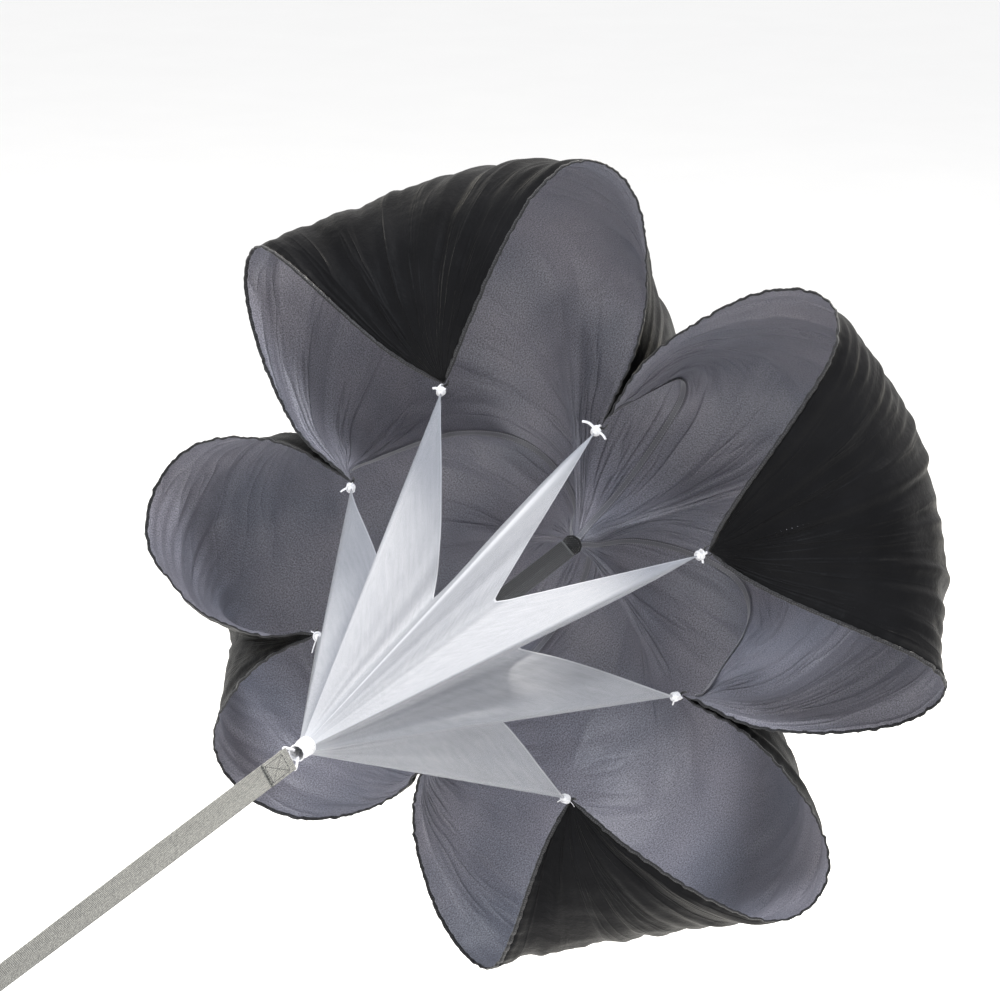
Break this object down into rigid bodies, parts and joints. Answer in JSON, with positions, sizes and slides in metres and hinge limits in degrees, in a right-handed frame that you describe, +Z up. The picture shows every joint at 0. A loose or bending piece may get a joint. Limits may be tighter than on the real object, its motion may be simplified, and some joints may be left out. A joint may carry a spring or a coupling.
{
  "type": "resistance parachute",
  "caption": "Inflated square resistance parachute with net, tow strap and swivel snap hook, for speed training.",
  "frame": {"origin": "seat of the snap hook, at the centre of its bow", "axes": "+Y along the taut tow line from the hook to the canopy, whose mouth faces -Y; +Z up"},
  "size_m": [0.9694, 1.8911, 0.9694],
  "materials": {
    "canopy_cloth": "satin",
    "hem_tape": "matte",
    "black_webbing": "matte",
    "white_tape": "matte",
    "net": "satin",
    "grey_webbing": "matte",
    "thread": "matte",
    "hook_metal": "satin",
    "plated_metal": "satin"
  },
  "bodies": {
    "hook": {"hook_body": "hook_metal", "gate_pin": "plated_metal", "gate_spring": "plated_metal"},
    "gate": {"hook_gate": "plated_metal"},
    "swivel": {"swivel_eye": "hook_metal", "swivel_head": "plated_metal", "swivel_washer": "plated_metal"},
    "chute": {"tow_strap": "grey_webbing", "strap_eye_turn": "grey_webbing", "strap_net_turn": "grey_webbing", "eye_end_stitching": "thread", "net_end_stitching": "thread", "net_loop": "white_tape", "net_collar": "white_tape", "collar_binding": "white_tape", "mesh_net": "net", "centre_webbing": "black_webbing", "centre_patch": "black_webbing", "centre_tab": "black_webbing", "tab_stitching": "thread", "canopy_panel_1": "canopy_cloth", "canopy_panel_2": "canopy_cloth", "canopy_panel_3": "canopy_cloth", "canopy_panel_4": "canopy_cloth", "seam_tape_1": "hem_tape", "seam_tape_2": "hem_tape", "seam_tape_3": "hem_tape", "seam_tape_4": "hem_tape", "hem_1": "hem_tape", "hem_2": "hem_tape", "hem_3": "hem_tape", "hem_4": "hem_tape", "hem_5": "hem_tape", "hem_6": "hem_tape", "hem_7": "hem_tape", "hem_8": "hem_tape", "edge_loop_1": "black_webbing", "edge_loop_2": "black_webbing", "edge_loop_3": "black_webbing", "edge_loop_4": "black_webbing", "edge_loop_5": "black_webbing", "edge_loop_6": "black_webbing", "edge_loop_7": "black_webbing", "edge_loop_8": "black_webbing", "tie_tape_1": "white_tape", "tie_tape_2": "white_tape", "tie_tape_3": "white_tape", "tie_tape_4": "white_tape", "tie_tape_5": "white_tape", "tie_tape_6": "white_tape", "tie_tape_7": "white_tape", "tie_tape_8": "white_tape"}
  },
  "joints": [
    {"name": "gate_hinge", "type": "hinge", "parent": "hook", "child": "gate", "pos_m": [0.009, 0.032, 0], "axis": [0, 0, 1], "range_deg": [-25, 0]},
    {"name": "swivel_spin", "type": "hinge", "parent": "hook", "child": "swivel", "pos_m": [0, 0.0425, 0], "axis": [0, 1, 0], "continuous": true},
    {"name": "strap_swing", "type": "hinge", "parent": "swivel", "child": "chute", "pos_m": [0, 0.0704, 0], "axis": [0, 0, 1], "range_deg": [-60, 60]}
  ]
}
